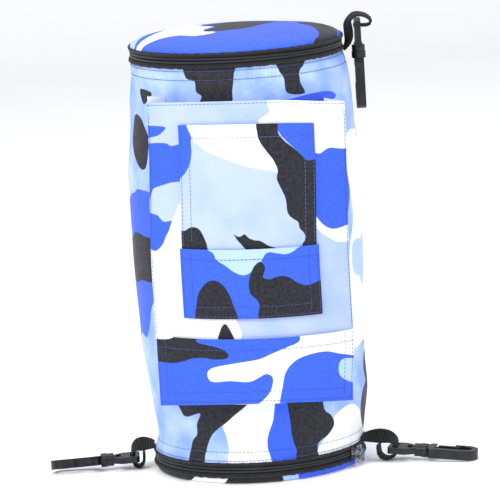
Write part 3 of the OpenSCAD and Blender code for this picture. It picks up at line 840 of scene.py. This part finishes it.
def line_lid(lid, shape):
    """The lining inside a lid, which follows the shape of its pad."""
    face = shape(LID_PAD_T + 0.1)
    cloth = slab(lid + "_lining_cloth", face, shape(LID_T - 0.2), MATERIALS["lining"], disc_uv(face),
                 closed=True)
    attach(cloth, lid, (lid + "_lining",))


dome_front = dome(0.0, 1.0)
top_pad = slab("top_lid_pad", dome_front, dome(LID_PAD_T), MATERIALS["camo"], disc_uv(dome_front),
               closed=True, prints=TOP_LID_PRINT, base_royal=True)
attach(top_pad, "top_lid", ("top_lid_cover", "top_lid_foam"))
line_lid("top_lid", dome)


def dish(inset, relief=0.0):
    """Rows from the rim down the side, round the corner and in to the middle of the floor."""
    corner = 4 - inset * 0.5
    r1, top = RIM_R - inset, BOTTOM_ZIP - EDGE
    side = np.linspace(top, inset + corner, 5)
    arc = np.radians(np.linspace(0, 90, 9))[1:]
    flat = np.linspace(r1 - corner, 0, 26)[1:]
    r = np.concatenate([np.full(5, r1), r1 - corner + corner * np.cos(arc), flat])
    z = np.concatenate([side, inset + corner - corner * np.sin(arc), np.full(25, inset)])
    r, z, a = (x + 0 * LID_A[None, :] for x in (r[:, None], z[:, None], LID_A[None, :]))
    pucker = relief * 0.25 * smoothstep(r, RIM_R - 6, RIM_R) * (np.sin(a * 40 + 2 * np.sin(a * 7)) - 1)
    return np.stack([(r + pucker) * np.cos(a), (r + pucker) * np.sin(a), z], -1)


dish_front = dish(0.0, 1.0)
dish_uv = dish_front[..., :2] * (1 + 0.012 * (dish_front[..., 2:3]))
bottom_pad = slab("bottom_lid_pad", dish_front, dish(LID_PAD_T), MATERIALS["camo"], dish_uv, closed=True,
                  prints=BOTTOM_LID_PRINT, base_royal=True)
attach(bottom_pad, "bottom_lid", ("bottom_lid_cover", "bottom_lid_foam"))
line_lid("bottom_lid", dish)

# ---- bindings, tapes and coils ----


def binding_section(edge_t, inner_reach, reach=6.2):
    """A folded ribbon over an edge: an upside-down U whose corners are round, from the zip outwards."""
    outer, inner = RIM_R + 1.15, RIM_R - edge_t - 1.15
    leg = 1.0
    return [(inner + leg, inner_reach), (inner + leg / 2, inner_reach + 0.15), (inner, inner_reach - 0.2),
            (inner, 3.9), (inner + 0.25, 3.25), (inner + 0.9, 3.0),
            (outer - 1.3, 2.75), (outer - 0.5, 2.95), (outer - 0.05, 3.5), (outer + 0.18, 4.4),
            (outer + 0.12, 5.4),
            (outer - 0.05, reach - 0.2), (outer - 0.4, reach), (outer - leg + 0.1, reach - 0.1),
            (outer - leg, 4.3), (RIM_R - 1.5, 4.18), (inner + leg, 4.18)]


def ribbed(seed):
    """A ribbon's slight waves, pulled in at each stitch."""
    def wobble(a, r, h):
        outer = smoothstep(r, RIM_R, RIM_R + 0.8)
        wave = 0.14 * np.sin(a * 52 + 2 * np.sin(a * 5 + seed)) + 0.10 * np.sin(a * 83 + seed)
        pull = -0.12 * (0.5 + 0.5 * np.cos(a * 165))
        return r + outer * (wave * 0.7 + pull), h + outer * smoothstep(np.abs(h), 5, 6.2) * wave * 1.2
    return wobble


def zip_side(section, zip_z, side):
    """Sections are drawn from the zip outwards; side is +1 above the zip's centre line and -1 below it."""
    return [(r, zip_z + side * h) for r, h in section]


def zip_wobble(seed, zip_z, side):
    inner = ribbed(seed)

    def wobble(a, r, h):
        radius, reach = inner(a, r, (h - zip_z) * side)
        return radius, zip_z + side * reach
    return wobble


ZIP_START, ZIP_SPAN = 120.0, 300.0
ZIPS = (("top", TOP_ZIP, "top_lid", +1), ("bottom", BOTTOM_ZIP, "bottom_lid", -1))


def coil(name, zip_z, side, phase):
    """A spiral of nylon lying along the tape's edge, its loops reaching the zip's centre line."""
    pitch, wire, per_turn, ring = 1.5, 0.3, 12, 6
    turns = int(math.radians(ZIP_SPAN) * RIM_R / pitch)
    t = np.arange(turns * per_turn + 1) / per_turn
    a = np.radians(ZIP_START) + (t + phase) * pitch / RIM_R
    a = np.minimum(a, math.radians(ZIP_START + ZIP_SPAN))
    high, deep = 0.72, 0.5
    h = 1.18 - high * np.cos(2 * PI * t)
    r = RIM_R - 0.35 + deep * np.sin(2 * PI * t)
    path = np.stack([r * np.cos(a), r * np.sin(a), zip_z + side * h], -1)
    tangent = np.gradient(path, axis=0)
    tangent /= np.linalg.norm(tangent, axis=1)[:, None]
    radial = np.stack([np.cos(a), np.sin(a), 0 * a], -1)
    one = np.cross(tangent, radial)
    one /= np.maximum(np.linalg.norm(one, axis=1)[:, None], 1e-9)
    two = np.cross(tangent, one)
    spin = np.arange(ring) * 2 * PI / ring
    points = path[:, None] + wire * (np.cos(spin)[None, :, None] * one[:, None]
                                     + np.sin(spin)[None, :, None] * two[:, None])
    faces = grid_faces(len(path), ring, 0, True, False)
    last = (len(path) - 1) * ring
    faces += [tuple(range(ring))[::-1], tuple(last + k for k in range(ring))]
    mm = np.stack(np.broadcast_arrays(t[:, None] * 4, spin[None, :], 0.0), -1).reshape(-1, 3)
    return make_object(name, points.reshape(-1, 3), faces, MATERIALS["coil"], mm, sharp=80)


for which, zip_z, lid, up in ZIPS:
    for body, side, edge_t, reach_in, prefix in (("bag", -up, WALL_T, 6.0, which + "_rim"),
                                                 (lid, up, LID_T, 4.7, which + "_lid")):
        middle = "zip_body" if body == "bag" else "lid_zip"
        seed = 3 + len(prefix) + side
        section = zip_side(binding_section(edge_t, reach_in), zip_z, side)
        band = lathe(prefix + "_ribbon", section, MATERIALS["binding"], step=0.75,
                     wobble=zip_wobble(seed, zip_z, side))
        attach(band, body, (prefix + "_binding",))
        tape = lathe(which + "_" + middle + "_tape_cloth",
                     zip_side(round_section(RIM_R - 1.9, RIM_R - 1.15, 0.5, 3.1, 0.3), zip_z, side),
                     MATERIALS["tape"], span=ZIP_SPAN, start=ZIP_START, step=1.5)
        attach(tape, body, (which + "_" + middle + "_tape",))
        teeth = coil(which + "_" + middle + "_coil_nylon", zip_z, side, 0.0 if side > 0 else 0.5)
        attach(teeth, body, (which + "_" + middle + "_coil",))
        sew_z = zip_z + side * 5.15
        ring_a = np.radians(np.arange(0, 361, 1.0))
        ring_points = np.stack([(RIM_R + 1.36) * np.cos(ring_a), (RIM_R + 1.36) * np.sin(ring_a),
                                np.full_like(ring_a, sew_z)], -1)
        ring_out = np.stack([np.cos(ring_a), np.sin(ring_a), 0 * ring_a], -1)
        attach(stitches(prefix + "_ribbon_stitches", [(ring_points, ring_out)], MATERIALS["black_thread"],
                        radius=0.24), body)

for which, zip_z, lid, up in ZIPS:
    back_a = np.radians(np.linspace(64, 116, 53))
    heights = zip_z + up * np.linspace(-4.9, 4.9, 21)
    grid_a, grid_h = np.meshgrid(back_a, heights)
    away = (grid_h - zip_z) * up
    fold = 0.5 * np.exp(-(away / 1.5) ** 2) + 0.12 * np.sin(grid_a * 60)
    radius = RIM_R + 1.5 + fold
    strip_uv = np.stack([grid_a * RIM_R, grid_h], -1)
    thick = 0.4 * rounded(strip_uv, ((strip_uv[..., 0].min(), strip_uv[..., 0].max()),
                                     (strip_uv[..., 1].min(), strip_uv[..., 1].max())), 0.8)
    faces_of = [np.stack([(radius + d) * np.cos(grid_a), (radius + d) * np.sin(grid_a), grid_h], -1)
                for d in (0.45 + thick, 0.45 - thick)]
    strip = slab(which + "_hinge_cloth", faces_of[0], faces_of[1], MATERIALS["binding"], strip_uv)
    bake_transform(strip)
    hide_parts(which + "_hinge_fabric")

# ---- the front pocket ----

panel_uv = cloth_grid(-PANEL_HALF, PANEL_HALF, PANEL_Z0, PANEL_Z1, 1.7)
pu, pz = panel_uv[..., 0], panel_uv[..., 1]
seam = np.exp(-((PANEL_HALF - np.abs(pu) - EDGE_ROW) / 1.1) ** 2)
hem = np.exp(-((PANEL_Z1 - pz - EDGE_ROW) / 1.1) ** 2)
hem_roll = 0.5 * smoothstep(pz, PANEL_Z1 - 9, PANEL_Z1 - 6)
panel_bulge = hem_roll - 0.3 * seam - 0.3 * hem
panel_thick = PANEL_T * rounded(panel_uv, ((-PANEL_HALF, PANEL_HALF), (PANEL_Z0, PANEL_Z1)), PANEL_T)
panel = slab("pocket_panel_cloth", panel_point(pu, pz, panel_bulge - PANEL_T / 2 + panel_thick / 2),
             panel_point(pu, pz, -PANEL_T / 2 - panel_thick / 2), MATERIALS["camo"], panel_uv,
             prints=PANEL_PRINT, print_uv=pocket_uv(panel_uv))
attach(panel, "bag", ("pocket_front_panel",))


def relief_a(u, z):
    free = smoothstep(z, B_Z1 - 10, B_Z1 + 14)
    return patch_relief(u, z, PATCH_HALF, A_Z0, A_Z1, 1.9, 31) * (0.15 + 0.85 * free)


def relief_b(u, z):
    return 0.25 + patch_relief(u, z, PATCH_HALF + 1, A_Z0, B_Z1, 1.9, 37)


def relief_c(u, z):
    return patch_relief(u, z, C_HALF, PANEL_Z0, C_Z1, 2.0, 41)


STAND = 0.5
LOWER_STAND = STAND + 1.35
patch_a = curved_patch("patch_a_cloth", PATCH_HALF, A_Z0 + 4, A_Z1, STAND, relief_a, A_PRINT, False)
patch_b = curved_patch("patch_b_cloth", PATCH_HALF + 1, A_Z0, B_Z1, LOWER_STAND, relief_b, B_PRINT, True)
patch_c = curved_patch("patch_c_cloth", C_HALF, PANEL_Z0 - 0.5, C_Z1, STAND, relief_c, C_PRINT, True)
attach(patch_a, "bag", ("upper_patch_pocket",))
attach(patch_b, "bag", ("lower_patch_pocket",))
attach(patch_c, "bag", ("wide_patch_pocket",))


def on_patch(relief, stand):
    return lambda u, z, out: panel_point(u, z, stand + PATCH_T + relief(u, z) + out)


def pocket_rows(where, half, z0, z1, hem_at):
    """Twin rows up both sides and along the foot, and one row under the hem."""
    rows = []
    for inset in (EDGE_ROW, INNER_ROW):
        for sign in (-1, 1):
            x = sign * (half - inset)
            rows.append(sewn_row(where, (x, z0 + inset * 0.5), (x, z1 - 1), 0.12))
        rows.append(sewn_row(where, (-half + inset, z0 + inset), (half - inset, z0 + inset), 0.12))
    rows.append(sewn_row(where, (-half + 1, z1 - hem_at), (half - 1, z1 - hem_at), 0.12))
    return rows


rows_a = pocket_rows(on_patch(relief_a, STAND), PATCH_HALF, B_Z1 + 1, A_Z1, 9)
rows_b = pocket_rows(on_patch(relief_b, LOWER_STAND), PATCH_HALF + 1, A_Z0, B_Z1, 8)
rows_c = pocket_rows(on_patch(relief_c, STAND), C_HALF, PANEL_Z0, C_Z1, 9)
# The upper patch has no rows along its foot, which the lower patch covers
rows_a = [row for i, row in enumerate(rows_a) if i not in (2, 5)]
sewn_a = stitches("patch_a_stitches", rows_a, MATERIALS["blue_thread"])
sewn_b = stitches("patch_b_stitches", rows_b, MATERIALS["navy_thread"])
sewn_c = stitches("patch_c_stitches", rows_c, MATERIALS["navy_thread"])
panel_rows = []
for edge_x in (EDGE_ROW - PANEL_HALF, PANEL_HALF - EDGE_ROW):
    panel_rows.append(sewn_row(panel_point, (edge_x, C_Z1 + 1), (edge_x, PANEL_Z1 - 1), 0.05))
hem_z = PANEL_Z1 - EDGE_ROW
panel_rows.append(sewn_row(panel_point, (-PANEL_HALF + 1, hem_z), (PANEL_HALF - 1, hem_z), 0.25))
sewn_panel = stitches("panel_stitches", panel_rows, MATERIALS["blue_thread"])
for piece in (sewn_a, sewn_b, sewn_c, sewn_panel):
    attach(piece, "bag")


def gusset(side):
    """The bellows side: from the panel's edge, over an inward fold, back out to the wall."""
    share = np.linspace(0, 1, 25)
    heights = np.concatenate([np.linspace(PANEL_Z0 + 1.4, PANEL_Z1 - 30, 60),
                              np.linspace(PANEL_Z1 - 28, PANEL_Z1 + 7, 20)])
    s, z = np.meshgrid(share, heights)
    loose = smoothstep(z, PANEL_Z1 - 34, PANEL_Z1 + 4)
    fold_x = 71.8 - 7 * loose + 0.5 * ripple(z, 0 * z, 51, 60)
    front = panel_point(side * (PANEL_HALF - 1.1), z, -1.6)
    front_x = side * front[..., 0]
    end_x = np.minimum(74.2, front_x - 2.5)
    fold_x = np.minimum(2 * fold_x - 75.6, front_x - 9 - 18 * loose)
    x = front_x * (1 - s) ** 2 + 2 * fold_x * s * (1 - s) + end_x * s ** 2
    y = front[..., 1] * (1 - s) - 49.5 * s
    wall_r = profile_radius(z) - 0.6 + wall_lean(side * 0.98, z)
    end_y = -np.sqrt(np.maximum(wall_r ** 2 - end_x ** 2, 1))
    y = y + (end_y + 49.5) * s ** 2
    slack = 0.5 * ripple(z, 30 * s, 52 + side, 34) + 0.25 * ripple(z, 20 * s, 54 + side, 13)
    x = x + slack * np.sin(PI * s)
    rise = 5 * (1 - s) if side < 0 else 4.5 * np.sin(PI * s * 0.8)
    top = front[-1:, :1, 2] - 7 + rise - 3 * s
    z = np.minimum(z, PANEL_Z1 - 28) + (z - PANEL_Z1 + 28).clip(0) / 35 * (top - PANEL_Z1 + 28)
    path = np.stack([x, y], -1)
    tangent = np.gradient(path, axis=1)
    tangent /= np.linalg.norm(tangent, axis=-1)[..., None]
    normal = np.stack([-tangent[..., 1], tangent[..., 0]], -1)
    faces_of = []
    for d in (0.55, -0.55):
        p = path + normal * d
        faces_of.append(np.stack([side * p[..., 0], p[..., 1], z], -1))
    uv = np.stack([s * 26, z], -1)
    name = ("pocket_left" if side < 0 else "pocket_right") + "_gusset_cloth"
    return slab(name, faces_of[0], faces_of[1], MATERIALS["gusset"], uv)


left_gusset, right_gusset = gusset(-1), gusset(1)
attach(left_gusset, "bag", ("pocket_left_gusset",))
attach(right_gusset, "bag", ("pocket_right_gusset",))

floor_a = np.linspace(-0.98, 0.98, 61)
floor_share = np.linspace(0, 1, 13)
fa, fs = np.meshgrid(floor_a, floor_share)
outer_x = fa * 73.8
outer_y = PANEL_Y - np.sqrt(117.2 ** 2 - outer_x ** 2)
inner_r = profile_radius(PANEL_Z0) - 0.6 + wall_lean(fa * 0.98, PANEL_Z0)
inner_x = fa * 74.5
inner_y = -np.sqrt(inner_r ** 2 - inner_x ** 2)
floor_x = outer_x + (inner_x - outer_x) * fs
floor_y = outer_y + (inner_y - outer_y) * fs
floor_sag = 1.2 * np.sin(PI * fs) * (1 - fa ** 4)
floor_z = PANEL_Z0 + 0.7 - floor_sag + 0.15 * ripple(floor_x, floor_y, 61, 30) - 0.03 * floor_x
floor_z = floor_z + (pocket_z(fa * PANEL_HALF, PANEL_Z0) - PANEL_Z0) * (1 - fs)
floor_uv = np.stack([floor_x, floor_y], -1)
pocket_floor = slab("pocket_floor_cloth", np.stack([floor_x, floor_y, floor_z + 0.5], -1),
                    np.stack([floor_x, floor_y, floor_z - 0.5], -1), MATERIALS["gusset"], floor_uv)
attach(pocket_floor, "bag", ("pocket_floor_gusset",))

# ---- webbing loops ----

TOP_ROUTE = ((85.7, 329.4, 0), (88.9, 334.8, 16), (90, 339.5, 26), (90, 344.5, 28), (89.8, 349, 25),
             (91, 353.2, 12), (95, 356.6, 10), (100.2, 356.8, 6), (105, 355, 5), (108, 351.8, 3),
             (107.2, 348.9, 2), (104, 347.9, 0), (97.2, 348.3, 0), (94.1, 348.2, 0))
GROUND_ROUTE = ((84.7, 18.7, 14), (89.7, 19.4, 30), (94.2, 19.6, 40), (98.3, 18.9, 34), (101.3, 17, 18),
                (102.7, 14.6, 6), (102.9, 11, 0), (102.7, 7, 0), (101.5, 3.2, 0), (98.7, 1.5, 0),
                (96.1, 2.2, 0), (94.2, 5, 0), (93.7, 9.5, 0), (93.8, 12.6, 0))
# The right strap follows the same route, drawn out further from its foot
FOOT_R, DRAWN_OUT = 85.9, 1.55
RIGHT_ROUTE = tuple((FOOT_R + max(x - FOOT_R, (x - FOOT_R) / 2) * DRAWN_OUT, z, lean)
                    for x, z, lean in GROUND_ROUTE)


def open_curve(points, per=40):
    """A Catmull-Rom curve through the points, ends kept."""
    p = np.asarray(points, float)
    p = np.concatenate([[2 * p[0] - p[1]], p, [2 * p[-1] - p[-2]]])
    t = (np.arange(per) / per)[:, None]
    rows = []
    for i in range(1, len(p) - 2):
        a, b, c, d = p[i - 1:i + 3]
        square, cube = 2 * a - 5 * b + 4 * c - d, 3 * b - a - 3 * c + d
        rows.append(0.5 * (2 * b + (c - a) * t + square * t ** 2 + cube * t ** 3))
    return np.concatenate([*rows, p[-2:-1]])


def webbing(name, route, azimuth, mirror=1, width=14.0, thick=1.9):
    """Ribbed webbing swept along its route, with round edges. mirror is -1 to lean the other way."""
    line = open_curve(route)
    s = np.concatenate([[0], np.cumsum(np.hypot(*np.diff(line[:, :2], axis=0).T))])
    n = int(s[-1] / 0.28)
    at = np.linspace(0, s[-1], n)
    x, z, lean = (np.interp(at, s, line[:, k]) for k in range(3))
    along = np.stack([np.gradient(x), 0 * x, np.gradient(z)], -1)
    along /= np.linalg.norm(along, axis=1)[:, None]
    lean = np.radians(lean)
    across = np.stack([-along[:, 2] * np.sin(lean), np.cos(lean), along[:, 0] * np.sin(lean)], -1)
    normal = np.cross(along, across)
    normal /= np.linalg.norm(normal, axis=1)[:, None]
    rib = 0.26 * np.cos(2 * PI * at / RIB_PITCH)
    shape = []
    half, h = width / 2, thick / 2
    for side in (1, -1):
        for w in np.linspace(-1, 1, 13) * side:
            edge = math.sqrt(max(1 - abs(w) ** 8, 0.0))
            shape.append((w * half, side * h * (0.35 + 0.65 * edge), side))
    points = np.zeros((n, len(shape), 3))
    centre = np.stack([x, 0 * x, z], -1)
    for k, (w, t, side) in enumerate(shape):
        shift = side * rib * (1 - (abs(w) / half) ** 6)
        points[:, k] = centre + across * w + normal * (t + shift)[:, None]
    turn = math.radians(azimuth)
    c, d = math.cos(turn), math.sin(turn)
    points[..., 1] *= mirror
    x, y, z = (points[..., k] for k in range(3))
    points = np.stack([x * c - y * d, x * d + y * c, z], -1)
    m = len(shape)
    faces = grid_faces(n, m, 0, True, False)
    faces += [tuple(range(m))[::-1], tuple((n - 1) * m + k for k in range(m))]
    widths = np.array([w for w, _, _ in shape])
    mm = np.stack(np.broadcast_arrays(at[:, None], widths[None, :], 0.0), -1).reshape(-1, 3)
    return make_object(name, points.reshape(-1, 3), faces, MATERIALS["webbing"], mm, sharp=60)


for which, route, azimuth, mirror in (("top", TOP_ROUTE, 0, 1), ("left", GROUND_ROUTE, 180, -1),
                                      ("right", RIGHT_ROUTE, -14, 1)):
    strap = webbing(which + "_webbing", route, azimuth, mirror)
    attach(strap, which + "_loop", (which + "_loop",))

# ---- CAD nodes that stay: plastic and metal ----


def finish_node(name, material, width, segments=3):
    """Rounds a moulded or cast part's edges and gives it its material."""
    node = bpy.data.objects[name]
    node.data.materials.clear()
    node.data.materials.append(material)
    bevel = node.modifiers.new("round_edges", "BEVEL")
    bevel.width = width * MM
    bevel.segments = segments
    bevel.limit_method = "ANGLE"
    bevel.angle_limit = math.radians(35)
    bevel.harden_normals = True


for which in ("top", "left", "right"):
    finish_node(which + "_hook", MATERIALS["plastic"], 0.9)
    finish_node(which + "_hook_eye", MATERIALS["plastic"], 0.7)
    finish_node(which + "_gate", MATERIALS["plastic"], 0.4, 2)
for end in ("top", "bottom"):
    finish_node(end + "_zip_stops", MATERIALS["metal"], 0.25, 2)
    for letter in "ab":
        finish_node(f"{end}_slider_{letter}", MATERIALS["metal"], 0.22, 2)
        finish_node(f"{end}_pull_{letter}", MATERIALS["metal"], 0.28, 2)

# ---- the studio ----


def studio():
    """A pale floor that curves up a little at the back, a large soft key light, a fill and a top light."""
    floor = []
    for t in np.linspace(0, 1, 25):
        angle = t * PI / 4
        floor.append((2600 + 900 * math.sin(angle), 900 * (1 - math.cos(angle))))
    line = [(-6000, 0.0), (0.0, 0.0)] + floor
    points = [(x, y, z - 0.35) for y, z in line for x in (-6000, 6000)]
    faces = [(2 * i, 2 * i + 1, 2 * i + 3, 2 * i + 2) for i in range(len(line) - 1)]
    paper = Shader("pale_paper", (0.97, 0.972, 0.98), 0.8, Specular_IOR_Level=0.15,
                   Emission_Strength=0.11)
    where = paper.place(False)
    mottle = paper.span(paper.noise(where, 0.01), 0.3, 0.7)
    paper.colour(paper.mix(mottle, (0.965, 0.968, 0.975), (0.98, 0.982, 0.988)))
    sweep = make_object("studio_floor", points, faces, paper.material)
    world = bpy.data.worlds.new("studio_world")
    world.use_nodes = True
    world.node_tree.nodes["Background"].inputs[0].default_value = (0.94, 0.965, 1.0, 1)
    world.node_tree.nodes["Background"].inputs[1].default_value = 0.62
    bpy.context.scene.world = world
    for name, at, size, power in (("key", (-1.5, -1.9, 2.0), 1.5, 62), ("fill", (1.8, -1.6, 1.0), 1.6, 20),
                                  ("top", (0.1, 0.3, 2.4), 1.6, 26)):
        data = bpy.data.lights.new(name + "_light", "AREA")
        data.energy, data.size = power, size
        lamp = bpy.data.objects.new(name + "_light", data)
        bpy.context.scene.collection.objects.link(lamp)
        lamp.location = at
        lamp.rotation_euler = (Vector((0, 0, 0.18)) - Vector(at)).to_track_quat("-Z", "Y").to_euler()


def camera():
    """Seen from the front, 7 to 14 degrees above, with the slight roll that makes the bag lean left."""
    data = bpy.data.cameras.new("camera")
    data.sensor_width = 36
    data.lens = 293
    data.clip_start, data.clip_end = 0.1, 60
    made = bpy.data.objects.new("camera", data)
    bpy.context.scene.collection.objects.link(made)
    at, target = Vector((0, -3.213, 0.719)), Vector((0.0016, 0, 0.1725))
    look = (target - at).to_track_quat("-Z", "Y").to_matrix().to_4x4()
    made.matrix_world = Matrix.Translation(at) @ look @ Matrix.Rotation(math.radians(-3.47), 4, "Z")
    bpy.context.scene.camera = made


studio()
camera()
bpy.context.scene.view_settings.view_transform = "Standard"
bpy.context.view_layer.update()
